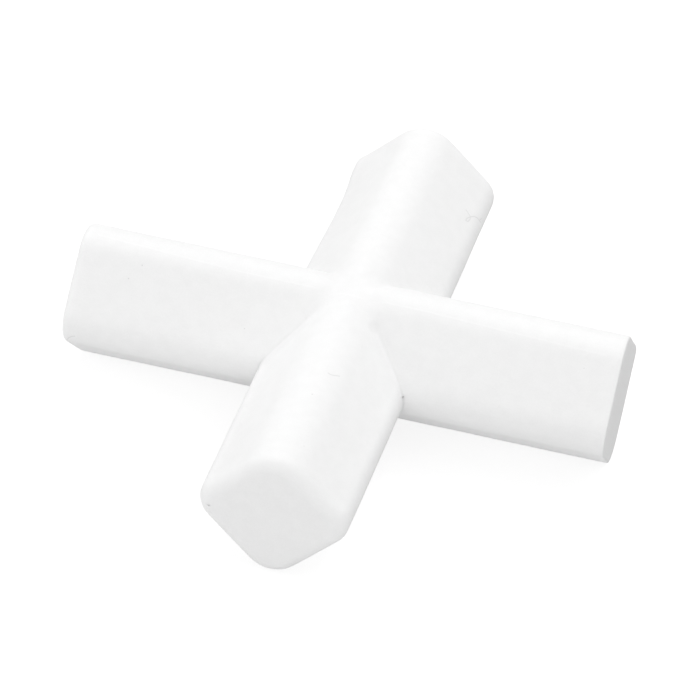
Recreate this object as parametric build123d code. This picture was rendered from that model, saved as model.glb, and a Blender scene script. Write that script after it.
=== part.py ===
from build123d import *
from math import cos, radians, sin
import os

# Cross-shaped magnetic stir bar: two bars of a fluoropolymer jacket cross at right angles,
# and a rod magnet is sealed in the bar that runs along X.
# Millimetres, +Z up. The origin lies under the crossing, in the plane that the lower ridges rest on.

# Driving dimensions of the jacket
bar_length = 38.0
bar_across_flats = 8.35
ridge_radius = 2.2
side_corner_radius = 2.0
end_edge_radius = 0.45
valley_radius = 0.38

# The -Y end has a softer rim than the others
soft_end_edge_radius = 0.7

# The +X end is cut off leaning, longest at its top, and its rim is crisp
cut_end_lean = 2.8
cut_end_edge_radius = 0.15

# The +Y arm gets slimmer along its -X side, is narrowest near its end, and flares out again
slim_corner_radius = 2.75
flare_length = 4.5
flare_end_margin = 1.1

# Remnant of moulding flash in the crotch between the +X arm and the -Y arm
flash_reach_x = 0.45
flash_reach_y = 1.35
flash_top = 0.65
flash_bottom = -1.0

# Sealed magnet
magnet_diameter = 6.0
magnet_length = 32.0
magnet_chamfer = 0.3
moulding_clearance = 0.05

# Places worked out from the sizes above
corner_to_corner = bar_across_flats * 2**0.5
rounding_loss = 2**0.5 - 1
half_length = bar_length / 2
half_height = corner_to_corner / 2 - ridge_radius * rounding_loss
half_width = corner_to_corner / 2 - side_corner_radius * rounding_loss
flare_end = half_length - flare_end_margin
narrowest_place = flare_end - flare_length


def bar_section(far_corner_radius=side_corner_radius):
    """Square stood on one corner, with rounded ridges above and below and rounded side corners."""
    square = Rectangle(bar_across_flats, bar_across_flats, rotation=45)
    by_height = square.vertices().sort_by(Axis.Y)
    section = fillet([by_height[0], by_height[-1]], ridge_radius)
    section = fillet(section.vertices().sort_by(Axis.X)[0], side_corner_radius)
    return fillet(section.vertices().sort_by(Axis.X)[-1], far_corner_radius)


def across(distance):
    """Plane across a bar that runs along X, at a distance from the crossing."""
    return Plane.YZ.offset(distance)


def stretch(section, start, end):
    """Straight stretch of a bar along X between two distances from the crossing."""
    return extrude(across(start) * section, end - start)


def round_rim(shape, end, radius):
    """Round the rim of the end face at the low (0) or high (-1) end of a bar along X."""
    return fillet(shape.faces().sort_by(Axis.X)[end].edges(), radius)


def leaning_cut():
    """Plane of the +X end face, set so that the rounded tip still comes to the half length."""
    lean = radians(cut_end_lean)
    rim_loss = cut_end_edge_radius * ((1 + sin(lean)) / cos(lean) - 1)
    facing = Vector(1, 0, 0).rotate(Axis.Y, cut_end_lean)
    return Plane(origin=(half_length + rim_loss, 0, half_height), z_dir=facing)


def magnet_bar():
    """Bar along X: a plain rounded end at -X, and the leaning end with its crisp rim at +X."""
    whole = stretch(bar_section(), -half_length, half_length + cut_end_edge_radius)
    shortened = split(whole, bisect_by=leaning_cut(), keep=Keep.BOTTOM)
    rounded = round_rim(shortened, 0, end_edge_radius)
    return round_rim(rounded, -1, cut_end_edge_radius)


def plain_bar():
    """Bar along Y: a soft rim at the -Y end, and a +Y arm that is slimmer on its -X side."""
    full = bar_section()
    slim = bar_section(slim_corner_radius)
    taper = loft([across(0) * full, across(narrowest_place) * slim], ruled=True)
    flare = loft([across(narrowest_place) * slim, across(flare_end) * full], ruled=True)
    front = stretch(full, -half_length, 0)
    back = stretch(full, flare_end, half_length)
    rounded = round_rim(front + taper + flare + back, 0, soft_end_edge_radius)
    rounded = round_rim(rounded, -1, end_edge_radius)
    return rounded.rotate(Axis.Z, 90)


def cross():
    """The two bars at right angles, with the valleys between the arms softened."""
    along_x = magnet_bar()
    along_y = plain_bar()
    joined = along_x + along_y
    valleys = new_edges(along_x, along_y, combined=joined)
    return fillet(valleys, valley_radius)


def flash_remnant():
    """Small spur in one crotch: a point at its top that widens to a flat triangle below."""
    root = half_width - side_corner_radius
    foot = Plane(origin=(0, 0, flash_bottom)) * make_face(Polyline(
        (root, -root),
        (half_width + flash_reach_x, -root),
        (root, -half_width - flash_reach_y),
        close=True,
    ))
    return loft([foot, Vertex(half_width, -half_width, flash_top)])


def magnet_rod(diameter, length):
    """Round rod along X with chamfered ends, centred on the origin."""
    rod = extrude(Plane.YZ * Circle(diameter / 2), length / 2, both=True)
    return chamfer(rod.edges().filter_by(GeomType.CIRCLE), magnet_chamfer)


def jacket():
    """The moulded cross in one piece, closed all round its magnet."""
    seat = magnet_rod(
        magnet_diameter + 2 * moulding_clearance,
        magnet_length + 2 * moulding_clearance,
    )
    return cross() + flash_remnant() - seat


def stand(shape):
    """Lift a centred shape so that the lower ridges lie at zero height."""
    return Pos(0, 0, half_height) * shape


os.makedirs("parts", exist_ok=True)
export_step(stand(jacket()), "parts/ptfe_jacket.step")
export_step(stand(magnet_rod(magnet_diameter, magnet_length)), "parts/bar_magnet.step")
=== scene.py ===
# %% [markdown]
# # A cross-shaped magnetic stir bar
# The real thing is one white moulding of a fluoropolymer, shaped as two bars that cross at
# right angles, with a rod magnet sealed in one of them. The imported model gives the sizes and
# the magnet. This lesson sculpts the jacket over it, since a moulding is never as exact as
# a drawing, and then gives it a waxy white finish on a white ground.

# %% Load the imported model
import math

import bmesh
import bpy
from mathutils import Matrix, Vector, noise


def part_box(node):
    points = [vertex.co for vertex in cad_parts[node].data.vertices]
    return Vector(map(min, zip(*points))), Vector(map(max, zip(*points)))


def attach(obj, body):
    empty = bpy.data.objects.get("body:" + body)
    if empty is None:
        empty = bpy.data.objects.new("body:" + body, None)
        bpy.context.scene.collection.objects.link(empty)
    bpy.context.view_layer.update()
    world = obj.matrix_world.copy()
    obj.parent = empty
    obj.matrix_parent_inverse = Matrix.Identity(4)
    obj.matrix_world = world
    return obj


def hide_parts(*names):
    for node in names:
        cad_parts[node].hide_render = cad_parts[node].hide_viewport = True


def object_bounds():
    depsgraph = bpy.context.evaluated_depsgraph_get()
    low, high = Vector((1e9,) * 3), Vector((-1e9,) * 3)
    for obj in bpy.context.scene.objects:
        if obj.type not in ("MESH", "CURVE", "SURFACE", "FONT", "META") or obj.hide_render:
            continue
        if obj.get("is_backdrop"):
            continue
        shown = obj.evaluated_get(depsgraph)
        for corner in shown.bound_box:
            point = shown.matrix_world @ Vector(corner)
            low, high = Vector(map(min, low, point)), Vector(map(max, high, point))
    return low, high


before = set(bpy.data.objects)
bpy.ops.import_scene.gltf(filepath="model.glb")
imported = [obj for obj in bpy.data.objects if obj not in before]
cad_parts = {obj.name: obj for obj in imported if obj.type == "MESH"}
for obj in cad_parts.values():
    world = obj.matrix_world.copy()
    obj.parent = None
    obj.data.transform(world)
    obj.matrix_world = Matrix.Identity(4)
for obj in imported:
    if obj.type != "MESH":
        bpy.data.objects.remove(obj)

cad_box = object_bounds()
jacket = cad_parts["ptfe_jacket"]
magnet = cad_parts["bar_magnet"]
low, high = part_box("ptfe_jacket")
middle = (low + high) / 2
print("jacket from", tuple(low), "to", tuple(high), "m,", len(jacket.data.polygons), "faces")

# %% [markdown]
# ## The camera
# A camera is placed by where it looks from and what it looks at. Here it stands in front of
# the cross, a little to its right, looks down at it steeply, and is tipped slightly, so the
# bar that runs left to right slopes down across the picture. A long lens keeps the four arms
# close to the same size, which is how a small object looks when it is taken from afar.

# %% Camera
camera_azimuth = math.radians(14.085)
camera_elevation = math.radians(39.152)
camera_roll = math.radians(3.031)
camera_distance = 0.39196
focal_pixels = 5789.6
picture_width = 700
aim_offset = (0.000068, 0.000481)

across = Vector((math.cos(camera_azimuth), math.sin(camera_azimuth), 0))
toward = Vector((
    math.sin(camera_azimuth) * math.cos(camera_elevation),
    -math.cos(camera_azimuth) * math.cos(camera_elevation),
    math.sin(camera_elevation),
))
upward = toward.cross(across)
right = math.cos(camera_roll) * across + math.sin(camera_roll) * upward
up = -math.sin(camera_roll) * across + math.cos(camera_roll) * upward

camera_data = bpy.data.cameras.new("camera")
camera_data.sensor_width = 36
camera_data.lens = focal_pixels * camera_data.sensor_width / picture_width
camera_data.clip_start = 0.01
camera = bpy.data.objects.new("camera", camera_data)
aim = middle - aim_offset[0] * right - aim_offset[1] * up
place = aim + camera_distance * toward
camera.matrix_world = Matrix((
    (right.x, up.x, toward.x, place.x),
    (right.y, up.y, toward.y, place.y),
    (right.z, up.z, toward.z, place.z),
    (0, 0, 0, 1),
))
bpy.context.scene.collection.objects.link(camera)
bpy.context.scene.camera = camera
print("camera", round(camera_data.lens, 1), "mm lens at", [round(c, 4) for c in place])

# %% [markdown]
# ## Floor and light
# A white object on a white ground is told apart only by soft changes of tone, so the light
# does the drawing. Two large softboxes stand high, behind and to the right, and two smaller
# ones stand low, at the left and in front, so each facet gets its own grey and the ridges
# turn softly.
# Product photographers light a white table from below to make it vanish around the object.
# So the floor glows a little, which also fills the undersides of the arms. To be pure white
# it would have to glow so strongly that the object loses its form, so the rest of the glow
# is added only for rays that come straight from the camera, and for no others.

# %% Floor
FLOOR_HALF_WIDTH = 3.0
FLOOR_TONE = 0.4
FLOOR_GLOW = 0.31
EXTRA_GLOW_SEEN = 0.4


def grey(tone):
    """Neutral colour of one tone, with no transparency."""
    return (tone, tone, tone, 1)


bpy.context.scene.view_settings.view_transform = "Standard"

floor_mesh = bpy.data.meshes.new("floor")
grid = bmesh.new()
bmesh.ops.create_grid(grid, x_segments=1, y_segments=1, size=FLOOR_HALF_WIDTH)
grid.to_mesh(floor_mesh)
grid.free()
floor = bpy.data.objects.new("floor", floor_mesh)
bpy.context.scene.collection.objects.link(floor)
floor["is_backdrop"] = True

floor_paint = bpy.data.materials.new("floor_white")
floor_paint.use_nodes = True
floor_nodes, floor_links = floor_paint.node_tree.nodes, floor_paint.node_tree.links
floor_shader = floor_nodes["Principled BSDF"]
floor_shader.inputs["Base Color"].default_value = grey(FLOOR_TONE)
floor_shader.inputs["Roughness"].default_value = 0.9
floor_shader.inputs["Specular IOR Level"].default_value = 0.0
floor_shader.inputs["Emission Color"].default_value = grey(1)
floor_shader.inputs["Emission Strength"].default_value = FLOOR_GLOW
glow = floor_nodes.new("ShaderNodeEmission")
ray = floor_nodes.new("ShaderNodeLightPath")
seen_glow = floor_nodes.new("ShaderNodeMath")
seen_glow.operation = "MULTIPLY"
seen_glow.inputs[1].default_value = EXTRA_GLOW_SEEN
table = floor_nodes.new("ShaderNodeAddShader")
floor_links.new(ray.outputs["Is Camera Ray"], seen_glow.inputs[0])
floor_links.new(seen_glow.outputs[0], glow.inputs["Strength"])
floor_links.new(floor_shader.outputs["BSDF"], table.inputs[0])
floor_links.new(glow.outputs["Emission"], table.inputs[1])
floor_links.new(table.outputs["Shader"], floor_nodes["Material Output"].inputs["Surface"])
floor.data.materials.append(floor_paint)
print("floor", 2 * FLOOR_HALF_WIDTH, "m wide, glow", FLOOR_GLOW, "and", EXTRA_GLOW_SEEN, "more if seen")

# %% Lights
SKY_STRENGTH = 0.565
LAMP_TARGET = (0, 0, 0.005)

world = bpy.data.worlds.new("studio")
bpy.context.scene.world = world
world.use_nodes = True
sky = world.node_tree.nodes["Background"]
sky.inputs["Color"].default_value = grey(1)
sky.inputs["Strength"].default_value = SKY_STRENGTH


def softbox(name, place, size, power):
    """Rectangular area light that faces the middle of the cross."""
    data = bpy.data.lights.new(name, "AREA")
    data.shape = "RECTANGLE"
    data.size, data.size_y = size
    data.energy = power
    lamp = bpy.data.objects.new(name, data)
    facing = Vector(LAMP_TARGET) - Vector(place)
    lamp.rotation_euler = facing.to_track_quat("-Z", "Y").to_euler()
    lamp.location = place
    bpy.context.scene.collection.objects.link(lamp)


LARGE_BOX = (0.6, 0.6)
LOW_BOX = (0.5, 0.3)
softbox("back_top", (0, 0.4, 0.55), LARGE_BOX, power=1.88)
softbox("right_top", (0.33, 0, 0.59), LARGE_BOX, power=0.97)
softbox("left_low", (-0.7, 0, 0.2), LOW_BOX, power=1.06)
softbox("front_low", (0, -0.7, 0.2), LOW_BOX, power=1.17)

# %% [markdown]
# ## The moulded cross
# The CAD solid is exact, and a little too exact: on the real moulding the bar that comes
# towards the viewer is rounder on top, the valleys between the arms are soft, and no facet
# is quite flat. A jacket of its own replaces the CAD node, so that these can be shaped.
# All four arms share one cross-section, so one recipe sweeps each arm from the diagonals of
# the cross to its end, and the four weld together without any boolean. Everything is worked
# in millimetres, about the middle of the crossing, and scaled to metres at the very end.

# %% Sizes of the cross
MM = 0.001
half_length = high.x / MM
half_height = middle.z / MM
across_flats = 8.35
ridge_radius = 2.2
side_radius = 2.0
apex = across_flats / math.sqrt(2)
half_width = apex - side_radius * (math.sqrt(2) - 1)
for name, size in (("length", half_length), ("height", half_height), ("width", half_width)):
    print("half", name, round(size, 3), "mm")

# %% [markdown]
# ## One arm
# The section starts as a square stood on its corner. A vertex bevel rounds each corner, and
# the flat sides are divided so that they can be bent a little later. The near end of the
# sweep is pushed back onto the diagonals, where the neighbouring arms will meet it, and the
# far end gets its rounded rim before the long edges are divided: a bevel needs room.

# %% Arm helpers
RING_STEPS = 12
FLAT_CUTS = 13
LENGTH_CUTS = 70
NEAR_APEX = 0.99
SHORTEST_FLAT = 1.0
FLAT_TO_ACROSS = Matrix(((0, 0, 1, 0), (1, 0, 0, 0), (0, 1, 0, 0), (0, 0, 0, 1)))


def section_ring(arm):
    """Rounded square on its corner, as a ring of edges in the plane across an arm along X."""
    bmesh.ops.create_circle(arm, cap_ends=True, segments=4, radius=apex)
    arm.verts.ensure_lookup_table()
    for side, radius in ((1, ridge_radius), (0, side_radius)):
        corners = [v for v in arm.verts if abs(v.co[side]) > apex * NEAR_APEX]
        bmesh.ops.bevel(arm, geom=corners, offset=radius, affect="VERTICES",
                        segments=RING_STEPS, profile=0.5, material=-1)
    bmesh.ops.delete(arm, geom=arm.faces[:], context="FACES_ONLY")
    flats = [e for e in arm.edges if e.calc_length() > SHORTEST_FLAT]
    bmesh.ops.subdivide_edges(arm, edges=flats, cuts=FLAT_CUTS)
    bmesh.ops.transform(arm, matrix=FLAT_TO_ACROSS, verts=arm.verts[:])


def swept_arm(rim_radius, rim_steps, lean):
    """One arm along +X from the diagonals to its end, which may lean down and back."""
    arm = bmesh.new()
    section_ring(arm)
    near = arm.verts[:]
    swept = bmesh.ops.extrude_edge_only(arm, edges=arm.edges[:])["geom"]
    far = [v for v in swept if isinstance(v, bmesh.types.BMVert)]
    for v in near:
        v.co.x = abs(v.co.y)
    slope = math.tan(math.radians(lean))
    for v in far:
        below_front_top = across_flats / 2 + (v.co.y - v.co.z) / math.sqrt(2)
        v.co.x = half_length - below_front_top * slope
    swept_edges = [e for e in swept if isinstance(e, bmesh.types.BMEdge)]
    rim = [e for e in swept_edges if all(v in far for v in e.verts)]
    bmesh.ops.contextual_create(arm, geom=rim)
    bmesh.ops.bevel(arm, geom=rim, offset=rim_radius, affect="EDGES", segments=rim_steps,
                    profile=0.5, material=-1)
    long_edges = [e for e in arm.edges if e.calc_length() > half_length / 2]
    bmesh.ops.subdivide_edges(arm, edges=long_edges, cuts=LENGTH_CUTS, use_grid_fill=True)
    return arm


# %% Four arms welded together
CUT_LEAN = 3.1
WELD_DISTANCE = 0.01
# Turn in degrees, rim radius in millimetres, steps of the rim, and lean of the end in degrees.
ARMS = ((0, 0.15, 2, CUT_LEAN), (90, 0.45, 5, 0.0), (180, 0.45, 5, 0.0), (270, 0.95, 8, 0.0))

cross = bmesh.new()
for turn, rim_radius, rim_steps, lean in ARMS:
    arm = swept_arm(rim_radius, rim_steps, lean)
    turned = Matrix.Rotation(math.radians(turn), 3, "Z")
    bmesh.ops.rotate(arm, cent=(0, 0, 0), matrix=turned, verts=arm.verts[:])
    one = bpy.data.meshes.new("one_arm")
    arm.to_mesh(one)
    arm.free()
    cross.from_mesh(one)
    bpy.data.meshes.remove(one)
bmesh.ops.remove_doubles(cross, verts=cross.verts[:], dist=WELD_DISTANCE)
open_edges = [e for e in cross.edges if len(e.link_faces) != 2]
print("cross", len(cross.verts), "vertices,", len(cross.faces), "faces")
print("open edges", len(open_edges))

# %% [markdown]
# ## What makes it a moulding and not a drawing
# The vertices are now moved by small amounts, a fraction of a millimetre each: the bar along
# Y is rounder and a little lower on top, one side of its back arm is slimmer, the bar along
# X has a sharper back corner near its leaning end, and all the facets waver slightly. Each
# change fades in between two distances from the crossing. The valleys are then softened by
# averaging each vertex near a diagonal with its neighbours, most of all near the middle.

# %% Small changes of form
# Each pair says where a change starts and where it is whole, in millimetres from the middle.
BAR_ALONG_Y = (-0.2, 1.2)
TOP_AWAY = (0.5, 5.0)
TOP_SIDE = (4.2, 5.0)
FRONT_TOP_RADIUS, FRONT_TOP_SUNK = 2.8, 0.2
BACK_TOP_RADIUS, BACK_TOP_SUNK = 2.5, 0.12
RIGHT_LESS_SUNK, LEFT_TO_RIGHT = 0.05, (-2.0, 2.0)

SLIM_DEPTH, SLIM_BAND = 0.27, 1.7
SLIM_SIDE = (2.5, 4.2)
SLIM_START, SLIM_END = (4.5, 13.0), (14.0, 18.3)

SHARP_CORNER, SHARP_BAND = 0.45, 0.85
SHARP_START, SHARP_SIDE = (14.0, 18.5), (3.0, 4.6)

WAVER, WAVER_RATE = 0.02, 0.33
WAVER_PLACE = Vector((11.3, 4.7, 2.9))


def ease(value, start, end):
    """0 before start, 1 after end, and a smooth step between them."""
    t = min(max((value - start) / (end - start), 0.0), 1.0)
    return t * t * (3 - 2 * t)


def band(height, reach):
    """1 at the height of the side corners, fading out above and below."""
    return math.exp(-((height / reach) ** 2))


def ridge_profile(side, radius):
    """Height of a rounded ridge at a distance to one side of it."""
    side = abs(side)
    if side >= radius / math.sqrt(2):
        return apex - side
    return apex - radius * math.sqrt(2) + math.sqrt(radius * radius - side * side)


for v in cross.verts:
    x, y, z = v.co
    if z > 0:
        top_radius = FRONT_TOP_RADIUS if y < 0 else BACK_TOP_RADIUS
        top_sunk = FRONT_TOP_SUNK if y < 0 else BACK_TOP_SUNK
        sunk = top_sunk - RIGHT_LESS_SUNK * ease(x, *LEFT_TO_RIGHT)
        away = ease(abs(y) - abs(x), *BAR_ALONG_Y) * ease(abs(y), *TOP_AWAY)
        v.co.z += away * (ridge_profile(x, top_radius) - ridge_profile(x, ridge_radius))
        v.co.z -= away * sunk * (1 - ease(abs(x), *TOP_SIDE))
    if x < 0 and y > 0:
        slim = ease(y, *SLIM_START) * (1 - ease(y, *SLIM_END)) * band(z, SLIM_BAND)
        v.co.x += SLIM_DEPTH * slim * ease(-x, *SLIM_SIDE)
    if x > 0 and y > 0:
        sharp = ease(x, *SHARP_START) * band(z, SHARP_BAND) * ease(y, *SHARP_SIDE)
        v.co.y += SHARP_CORNER * sharp

cross.normal_update()
for v in cross.verts:
    v.co += v.normal * WAVER * noise.noise(v.co * WAVER_RATE + WAVER_PLACE)
heights = [v.co.z for v in cross.verts]
print("form from", round(min(heights), 3), "to", round(max(heights), 3), "mm about the middle")

# %% Soft valleys
# Reach to each side of a diagonal, reach from the middle, and rounds of smoothing.
VALLEY_PASSES = ((1.8, 3.6, 6), (1.5, 2.9, 10), (1.2, 2.2, 14))


def near_diagonal(v, reach, spread):
    """True where a vertex is within reach of a diagonal, and no further out than spread."""
    return abs(abs(v.co.x) - abs(v.co.y)) < reach and math.hypot(v.co.x, v.co.y) < spread


for reach, spread, rounds in VALLEY_PASSES:
    soft = [v for v in cross.verts if near_diagonal(v, reach, spread)]
    for _ in range(rounds):
        bmesh.ops.smooth_vert(cross, verts=soft, factor=0.5,
                              use_axis_x=True, use_axis_y=True, use_axis_z=True)
    print("softened", len(soft), "vertices beside the valleys,", rounds, "rounds")

# %% Moulding flash in one crotch
SPUR_REACH_X = 0.45
SPUR_REACH_Y = 1.35
SPUR_FOOT = -1.0
SPUR_TOP = 0.65

root = half_width - side_radius
spur_points = (
    (root, -root, SPUR_FOOT),
    (half_width + SPUR_REACH_X, -root, SPUR_FOOT),
    (root, -half_width - SPUR_REACH_Y, SPUR_FOOT),
    (half_width, -half_width, SPUR_TOP),
)
spur = bmesh.ops.convex_hull(cross, input=[cross.verts.new(point) for point in spur_points])
spur_faces = [g for g in spur["geom"] if isinstance(g, bmesh.types.BMFace)]
print("spur", len(spur_faces), "faces")

# %% Pocket for the magnet
POCKET_GAP = 0.05
POCKET_SIDES = 64

magnet_low, magnet_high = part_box("bar_magnet")
pocket_radius = (magnet_high.z - magnet_low.z) / 2 / MM + POCKET_GAP
pocket_length = (magnet_high.x - magnet_low.x) / MM + 2 * POCKET_GAP
pocket = bmesh.ops.create_cone(
    cross, cap_ends=True, segments=POCKET_SIDES, radius1=pocket_radius, radius2=pocket_radius,
    depth=pocket_length, matrix=Matrix.Rotation(math.pi / 2, 4, "Y"),
)
pocket_faces = {f for v in pocket["verts"] for f in v.link_faces}
outside = [f for f in cross.faces if f not in pocket_faces]
bmesh.ops.recalc_face_normals(cross, faces=outside)
bmesh.ops.recalc_face_normals(cross, faces=list(pocket_faces))
bmesh.ops.reverse_faces(cross, faces=list(pocket_faces))
print("pocket", round(2 * pocket_radius, 3), "by", round(pocket_length, 3), "mm")

# %% Jacket object
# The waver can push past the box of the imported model, so each vertex is held inside it.
for v in cross.verts:
    for axis, limit in enumerate((half_length, half_length, half_height)):
        v.co[axis] = min(max(v.co[axis], -limit), limit)
bmesh.ops.translate(cross, vec=(0, 0, half_height), verts=cross.verts[:])
bmesh.ops.scale(cross, vec=(MM, MM, MM), verts=cross.verts[:])
jacket_mesh = bpy.data.meshes.new("moulded_jacket")
cross.to_mesh(jacket_mesh)
cross.free()
jacket_mesh.shade_smooth()
moulded = bpy.data.objects.new("moulded_jacket", jacket_mesh)
bpy.context.scene.collection.objects.link(moulded)
shading = moulded.modifiers.new("flat_faces_rule", "WEIGHTED_NORMAL")
shading.weight = 80
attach(moulded, "root")
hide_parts("ptfe_jacket")
triangles = sum(len(p.vertices) - 2 for p in jacket_mesh.polygons)
print("jacket", len(jacket_mesh.vertices), "vertices,", triangles, "triangles")

# %% [markdown]
# ## Effects for the finishes
# A moulded surface is never one flat colour: the wax-like polymer is faintly cloudy, its
# skin has a fine grain, and dust and hair-thin marks collect on it. Each effect is a shader
# node group with named sockets, built once and placed in every material that needs it, with
# that material's own sizes. All of them work on Object coordinates turned into millimetres,
# so that a pattern keeps its real size and sticks to the piece when the camera moves.
# A mask is 1 inside a mark and falls smoothly to 0 at its rim.

# %% Group helpers
NOISE_LOW = 0.32
NOISE_HIGH = 0.68


def new_group(name, inputs, outputs):
    """Empty shader node group with named sockets, and its input and output nodes."""
    group = bpy.data.node_groups.new(name, "ShaderNodeTree")
    for label, kind, value in inputs:
        socket = group.interface.new_socket(name=label, in_out="INPUT", socket_type="NodeSocket" + kind)
        if value is not None:
            socket.default_value = value
    for label, kind in outputs:
        group.interface.new_socket(name=label, in_out="OUTPUT", socket_type="NodeSocket" + kind)
    return group, group.nodes.new("NodeGroupInput"), group.nodes.new("NodeGroupOutput")


def feed(tree, target, value):
    """Link an output to an input, or set the input to a plain value."""
    if isinstance(value, bpy.types.NodeSocket):
        tree.links.new(value, target)
    else:
        target.default_value = value


def node(tree, kind, setting, *values):
    """New node with its operation, and with its first inputs fed in their order."""
    made = tree.nodes.new("ShaderNode" + kind)
    if setting:
        made.operation = setting
    for target, value in zip(made.inputs, values):
        feed(tree, target, value)
    return made


def named(tree, kind, **values):
    """New node with inputs fed by name, where an underscore stands for a space."""
    made = tree.nodes.new("ShaderNode" + kind)
    for label, value in values.items():
        feed(tree, made.inputs[label.replace("_", " ")], value)
    return made


def fade(tree, value, full, none):
    """Output that is 1 up to one value and changes smoothly to 0 at another."""
    made = named(tree, "MapRange", Value=value, From_Min=full, From_Max=none, To_Min=1.0, To_Max=0.0)
    made.interpolation_type = "SMOOTHSTEP"
    return made.outputs["Result"]


def noise_of_size(tree, vector, size, detail):
    """Noise whose blobs are about as large as size, between 0 and 1 with more contrast."""
    rate = node(tree, "Math", "DIVIDE", 1.0, size)
    cloud = named(tree, "TexNoise", Vector=vector, Scale=rate.outputs[0], Detail=detail)
    return fade(tree, cloud.outputs["Fac"], NOISE_HIGH, NOISE_LOW)


# %% Cloudy tone
cloudy_tone, given, made = new_group(
    "cloudy_tone",
    (("Vector", "Vector", None), ("Cloud Size", "Float", 1.5), ("Fleck Size", "Float", 0.25),
     ("Dark Tone", "Color", None), ("Light Tone", "Color", None),
     ("Smoothest", "Float", 0.5), ("Roughest", "Float", 0.6)),
    (("Colour", "Color"), ("Roughness", "Float")),
)
point = given.outputs["Vector"]
large = noise_of_size(cloudy_tone, point, given.outputs["Cloud Size"], detail=2.0)
small = noise_of_size(cloudy_tone, point, given.outputs["Fleck Size"], detail=2.0)
both = node(cloudy_tone, "Math", "ADD", large, small)
share = node(cloudy_tone, "Math", "MULTIPLY", both.outputs[0], 0.5)
tone = node(cloudy_tone, "MixRGB", None, share.outputs[0],
            given.outputs["Dark Tone"], given.outputs["Light Tone"])
gloss = named(cloudy_tone, "MapRange", Value=large,
              To_Min=given.outputs["Smoothest"], To_Max=given.outputs["Roughest"])
cloudy_tone.links.new(tone.outputs["Color"], made.inputs["Colour"])
cloudy_tone.links.new(gloss.outputs["Result"], made.inputs["Roughness"])

# %% Fine grain
fine_grain, given, made = new_group(
    "fine_grain",
    (("Vector", "Vector", None), ("Grain Size", "Float", 0.2), ("Stretch", "Vector", (1, 1, 1)),
     ("Wave Size", "Float", 1.5), ("Wave Share", "Float", 0.5)),
    (("Height", "Float"),),
)
point = given.outputs["Vector"]
drawn_out = node(fine_grain, "VectorMath", "DIVIDE", point, given.outputs["Stretch"])
grain = noise_of_size(fine_grain, drawn_out.outputs[0], given.outputs["Grain Size"], detail=3.0)
wave = noise_of_size(fine_grain, point, given.outputs["Wave Size"], detail=1.0)
swell = node(fine_grain, "Math", "MULTIPLY", wave, given.outputs["Wave Share"])
height = node(fine_grain, "Math", "ADD", grain, swell.outputs[0])
fine_grain.links.new(height.outputs[0], made.inputs["Height"])

# %% Single speck
SPECK_CORE = 0.4

speck, given, made = new_group(
    "speck",
    (("Vector", "Vector", None), ("Place", "Vector", None), ("Radius", "Float", 0.1)),
    (("Mask", "Float"),),
)
away = node(speck, "VectorMath", "DISTANCE", given.outputs["Vector"], given.outputs["Place"])
core = node(speck, "Math", "MULTIPLY", given.outputs["Radius"], SPECK_CORE)
dot = fade(speck, away.outputs["Value"], core.outputs[0], given.outputs["Radius"])
speck.links.new(dot, made.inputs["Mask"])

# %% Scattered specks
scattered_specks, given, made = new_group(
    "scattered_specks",
    (("Vector", "Vector", None), ("Spacing", "Float", 3.0), ("Radius", "Float", 0.08),
     ("Share", "Float", 0.2)),
    (("Mask", "Float"),),
)
rate = node(scattered_specks, "Math", "DIVIDE", 1.0, given.outputs["Spacing"])
cells = named(scattered_specks, "TexVoronoi", Vector=given.outputs["Vector"], Scale=rate.outputs[0])
reach = node(scattered_specks, "Math", "MULTIPLY", given.outputs["Radius"], rate.outputs[0])
dot = fade(scattered_specks, cells.outputs["Distance"], 0.0, reach.outputs[0])
chosen = node(scattered_specks, "Math", "LESS_THAN", cells.outputs["Color"], given.outputs["Share"])
kept = node(scattered_specks, "Math", "MULTIPLY", dot, chosen.outputs[0])
scattered_specks.links.new(kept.outputs[0], made.inputs["Mask"])

# %% Thin line
thin_line, given, made = new_group(
    "thin_line",
    (("Vector", "Vector", None), ("Start", "Vector", None), ("End", "Vector", None),
     ("Width", "Float", 0.06)),
    (("Mask", "Float"),),
)
along = node(thin_line, "VectorMath", "SUBTRACT", given.outputs["End"], given.outputs["Start"])
from_start = node(thin_line, "VectorMath", "SUBTRACT", given.outputs["Vector"], given.outputs["Start"])
reached = node(thin_line, "VectorMath", "DOT_PRODUCT", from_start.outputs[0], along.outputs[0])
whole = node(thin_line, "VectorMath", "DOT_PRODUCT", along.outputs[0], along.outputs[0])
part = node(thin_line, "Math", "DIVIDE", reached.outputs["Value"], whole.outputs["Value"])
part.use_clamp = True
stride = node(thin_line, "VectorMath", "SCALE", along.outputs[0])
thin_line.links.new(part.outputs[0], stride.inputs["Scale"])
gap = node(thin_line, "VectorMath", "DISTANCE", from_start.outputs[0], stride.outputs[0])
line = fade(thin_line, gap.outputs["Value"], 0.0, given.outputs["Width"])
thin_line.links.new(line, made.inputs["Mask"])

# %% Mask of the leaning end face, for painted shade
CUT_CORE = 0.6

end_shade_mask, given, made = new_group(
    "end_shade_mask",
    (("Vector", "Vector", None), ("Point", "Vector", None), ("Facing", "Vector", (1, 0, 0)),
     ("Depth", "Float", 0.1)),
    (("Mask", "Float"),),
)
from_point = node(end_shade_mask, "VectorMath", "SUBTRACT", given.outputs["Point"], given.outputs["Vector"])
below = node(end_shade_mask, "VectorMath", "DOT_PRODUCT", from_point.outputs[0], given.outputs["Facing"])
core = node(end_shade_mask, "Math", "MULTIPLY", given.outputs["Depth"], CUT_CORE)
face = fade(end_shade_mask, below.outputs["Value"], core.outputs[0], given.outputs["Depth"])
end_shade_mask.links.new(face, made.inputs["Mask"])
print("groups", [g.name for g in bpy.data.node_groups])
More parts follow.
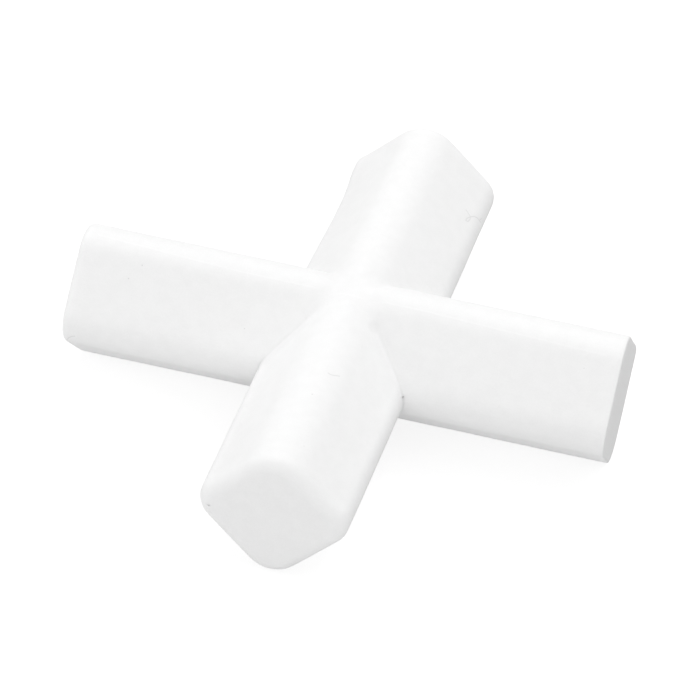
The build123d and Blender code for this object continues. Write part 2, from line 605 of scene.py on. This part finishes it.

# %% [markdown]
# ## White fluoropolymer
# The jacket is a dense white polymer with a waxy skin. It scatters light a little below its
# surface, which softens the edges, and it has a broad, weak gloss. Over that lie the marks of
# this one part: a witness line of the mould along one ridge, raised a little and painted
# lighter as a painted highlight, a few specks of dust, a curled fibre, two short cracks, and
# painted shade for a small pit beside the crossing. They are placed in millimetres.
# The leaning end looks cut and not moulded; its face is painted greyer, as painted shade.

# %% Material helpers
def placed(tree, group, vector, **values):
    """Node that uses a group, with its vector linked and its other inputs set by name."""
    made = tree.nodes.new("ShaderNodeGroup")
    made.node_tree = group
    tree.links.new(vector, made.inputs["Vector"])
    for label, value in values.items():
        feed(tree, made.inputs[label.replace("_", " ")], value)
    return made


def millimetres(tree):
    """Object coordinates of the piece, in millimetres."""
    coords = tree.nodes.new("ShaderNodeTexCoord")
    scaled = named(tree, "Mapping", Vector=coords.outputs["Object"], Scale=(1 / MM, 1 / MM, 1 / MM))
    return scaled.outputs["Vector"]


def blend_colour(tree, mask, strength, below, colour):
    """Colour laid over another where a mask is, up to a strength."""
    amount = node(tree, "Math", "MULTIPLY", mask, strength)
    return node(tree, "MixRGB", None, amount.outputs[0], below, colour).outputs["Color"]


def strongest(tree, masks):
    """Mask that is as strong as the strongest of several."""
    top = masks[0]
    for mask in masks[1:]:
        top = node(tree, "Math", "MAXIMUM", top, mask).outputs[0]
    return top


# %% Fluoropolymer
SCATTER_DEPTH = 0.0006

white = bpy.data.materials.new("moulded_fluoropolymer")
white.use_nodes = True
tree = white.node_tree
shader = tree.nodes["Principled BSDF"]
shader.inputs["IOR"].default_value = 1.35
shader.inputs["Subsurface Weight"].default_value = 0.3
shader.inputs["Subsurface Radius"].default_value = (1, 1, 1)
shader.inputs["Subsurface Scale"].default_value = SCATTER_DEPTH
place_mm = millimetres(tree)
skin = placed(
    tree, cloudy_tone, place_mm, Cloud_Size=0.8, Fleck_Size=0.11,
    Dark_Tone=grey(0.89), Light_Tone=grey(0.915), Smoothest=0.52, Roughest=0.58,
)

# %% Painted shade on the leaning end
END_SHADE_TONE = 0.79
CUT_DEPTH = 0.09

# The cut plane stands furthest out at the middle of the upper front facet.
slope = math.tan(math.radians(CUT_LEAN)) / math.sqrt(2)
facing = Vector((1, slope, -slope)).normalized()
offset = across_flats / 2 / math.sqrt(2)
furthest_out = (half_length, -offset, half_height + offset)
# The leaning end face is painted greyer here: painted shade on that end.
cut = placed(tree, end_shade_mask, place_mm, Point=furthest_out, Facing=facing, Depth=CUT_DEPTH)
end_shaded = blend_colour(tree, cut.outputs["Mask"], 1.0, skin.outputs["Colour"], grey(END_SHADE_TONE))
print("cut end faces", [round(part, 3) for part in facing])

# %% Specks, and painted shade for the pit
DIRT_AND_SHADE_TONE = 0.3
SPECK_STRENGTH = 0.24
PIT_SHADE_STRENGTH = 0.06
# Place and radius of each speck, in millimetres.
SPECKS = (
    (-14.38, -1.66, 9.24, 0.07), (-15.09, -2.41, 8.48, 0.07), (-6.51, -3.61, 7.30, 0.055),
    (0.42, -11.39, 9.54, 0.075), (1.31, -16.32, 9.26, 0.05), (0.41, -1.01, 9.69, 0.05),
    (16.56, -2.09, 8.80, 0.05), (-3.1, 13.2, 6.9, 0.06), (-9.4, 3.1, 7.4, 0.07),
    (12.3, 3.9, 6.6, 0.06), (7.7, -3.9, 3.2, 0.07), (-3.6, -9.8, 3.4, 0.06),
)

dots = [placed(tree, speck, place_mm, Place=(x, y, z), Radius=radius) for x, y, z, radius in SPECKS]
dots.append(placed(tree, scattered_specks, place_mm, Spacing=2.6, Radius=0.05, Share=0.12))
all_dots = strongest(tree, [dot.outputs["Mask"] for dot in dots])
specked = blend_colour(tree, all_dots, SPECK_STRENGTH, end_shaded, grey(DIRT_AND_SHADE_TONE))
# The pit is painted darker: painted shade in the valley beside the crossing. The specks above are dust.
pit_shade = placed(tree, speck, place_mm, Place=(2.06, -2.43, 8.78), Radius=0.62)
pit_shaded = blend_colour(tree, pit_shade.outputs["Mask"], PIT_SHADE_STRENGTH, specked, grey(DIRT_AND_SHADE_TONE))
print("specks", len(SPECKS), "placed and the rest scattered")

# %% Cracks, fibre, and witness line with a painted highlight
CRACK_WIDTH, CRACK_TONE, CRACK_STRENGTH = 0.07, 0.25, 0.2
WITNESS_WIDTH, WITNESS_HIGHLIGHT_TONE, WITNESS_HIGHLIGHT_STRENGTH = 0.11, 0.96, 0.35
# Points along each mark: two cracks, then the fibre and its loose end.
CRACKS = (
    ((-18.72, -4.7, 3.9), (-18.47, -4.97, 4.39), (-18.28, -5.02, 4.59), (-18.01, -5.05, 4.73)),
    ((0.78, -8.84, 9.45), (0.92, -8.90, 9.41), (1.08, -8.85, 9.35), (1.31, -8.69, 9.25),
     (1.49, -8.55, 9.15)),
    ((4.07, 14.48, 6.78), (4.25, 14.43, 6.59), (4.44, 14.31, 6.41), (4.49, 14.05, 6.37),
     (4.43, 13.69, 6.43), (4.28, 13.62, 6.56), (4.31, 13.90, 6.54), (4.45, 14.28, 6.41),
     (4.62, 14.65, 6.23), (4.82, 14.88, 5.97), (4.94, 14.98, 5.70), (5.02, 15.16, 5.41)),
    ((4.94, 14.98, 5.70), (4.99, 15.44, 5.55)),
)
WITNESS_LINE = (
    (-17.9, -0.35, 9.97), (-7.74, -0.87, 9.81), (4.85, -0.9, 9.8), (14.64, -1.18, 9.62),
    (17.8, -1.25, 9.58),
)


def drawn(paths, width):
    """Mask of thin lines through the points of each path."""
    lines = [
        placed(tree, thin_line, place_mm, Start=start, End=end, Width=width)
        for path in paths
        for start, end in zip(path, path[1:])
    ]
    return strongest(tree, [line.outputs["Mask"] for line in lines])


cracks = drawn(CRACKS, CRACK_WIDTH)
cracked = blend_colour(tree, cracks, CRACK_STRENGTH, pit_shaded, grey(CRACK_TONE))
# The witness line is raised in the relief, and its lighter colour is a painted highlight along the
# ridge.
seam_and_highlight = drawn((WITNESS_LINE,), WITNESS_WIDTH)
lit = blend_colour(tree, seam_and_highlight, WITNESS_HIGHLIGHT_STRENGTH, cracked, grey(WITNESS_HIGHLIGHT_TONE))
tree.links.new(lit, shader.inputs["Base Color"])
tree.links.new(skin.outputs["Roughness"], shader.inputs["Roughness"])
print("marks", len(CRACKS), "and a witness line through", len(WITNESS_LINE), "points")

# %% Relief of the skin
# The groove and the seam are told in heights of the grain, which is this many metres high.
GRAIN_HEIGHT = 0.0000035
GROOVE = -1.5
SEAM = 1.6

grain = placed(
    tree, fine_grain, place_mm, Grain_Size=0.16, Stretch=(1.6, 1.0, 1.0), Wave_Size=0.8, Wave_Share=0.3,
)
groove = node(tree, "Math", "MULTIPLY", cracks, GROOVE)
seam = node(tree, "Math", "MULTIPLY", seam_and_highlight, SEAM)
relief = node(tree, "Math", "ADD", groove.outputs[0], seam.outputs[0])
surface = node(tree, "Math", "ADD", relief.outputs[0], grain.outputs["Height"])
bump = named(tree, "Bump", Strength=1.0, Distance=GRAIN_HEIGHT, Height=surface.outputs[0])
tree.links.new(bump.outputs["Normal"], shader.inputs["Normal"])
moulded.data.materials.append(white)
print("jacket finish has", len(tree.nodes), "nodes")

# %% [markdown]
# ## The sealed magnet
# Nobody sees the magnet, but the part holds it, so its CAD node stays and gets a finish. It
# is a cast alloy rod, ground along its length: dull grey metal with faint streaks. The same
# two groups serve here, with darker tones and a grain drawn out along the rod.

# %% Magnet alloy
STREAK_HEIGHT = 0.00001

alloy = bpy.data.materials.new("ground_alloy")
alloy.use_nodes = True
alloy_tree = alloy.node_tree
metal = alloy_tree.nodes["Principled BSDF"]
metal.inputs["Metallic"].default_value = 1.0
rod_mm = millimetres(alloy_tree)
cast = placed(
    alloy_tree, cloudy_tone, rod_mm, Cloud_Size=2.5, Fleck_Size=0.5,
    Dark_Tone=(0.3, 0.3, 0.32, 1), Light_Tone=(0.44, 0.44, 0.46, 1), Smoothest=0.38, Roughest=0.55,
)
ground = placed(
    alloy_tree, fine_grain, rod_mm, Grain_Size=0.12, Stretch=(14.0, 1.0, 1.0),
    Wave_Size=3.0, Wave_Share=0.4,
)
streaks = named(alloy_tree, "Bump", Distance=STREAK_HEIGHT, Height=ground.outputs["Height"])
alloy_tree.links.new(cast.outputs["Colour"], metal.inputs["Base Color"])
alloy_tree.links.new(cast.outputs["Roughness"], metal.inputs["Roughness"])
alloy_tree.links.new(streaks.outputs["Normal"], metal.inputs["Normal"])
for slot in magnet.material_slots:
    slot.material = alloy
print("magnet slots", len(magnet.material_slots))

# %% [markdown]
# ## The sizes at the end
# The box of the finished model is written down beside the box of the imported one, so that
# anyone can see how far the sculpting went past the drawing.

# %% Sizes
dressed_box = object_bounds()
for name, box in (("packed", cad_box), ("dressed", dressed_box)):
    print(name, [[round(c / MM, 3) for c in corner] for corner in box], "mm")
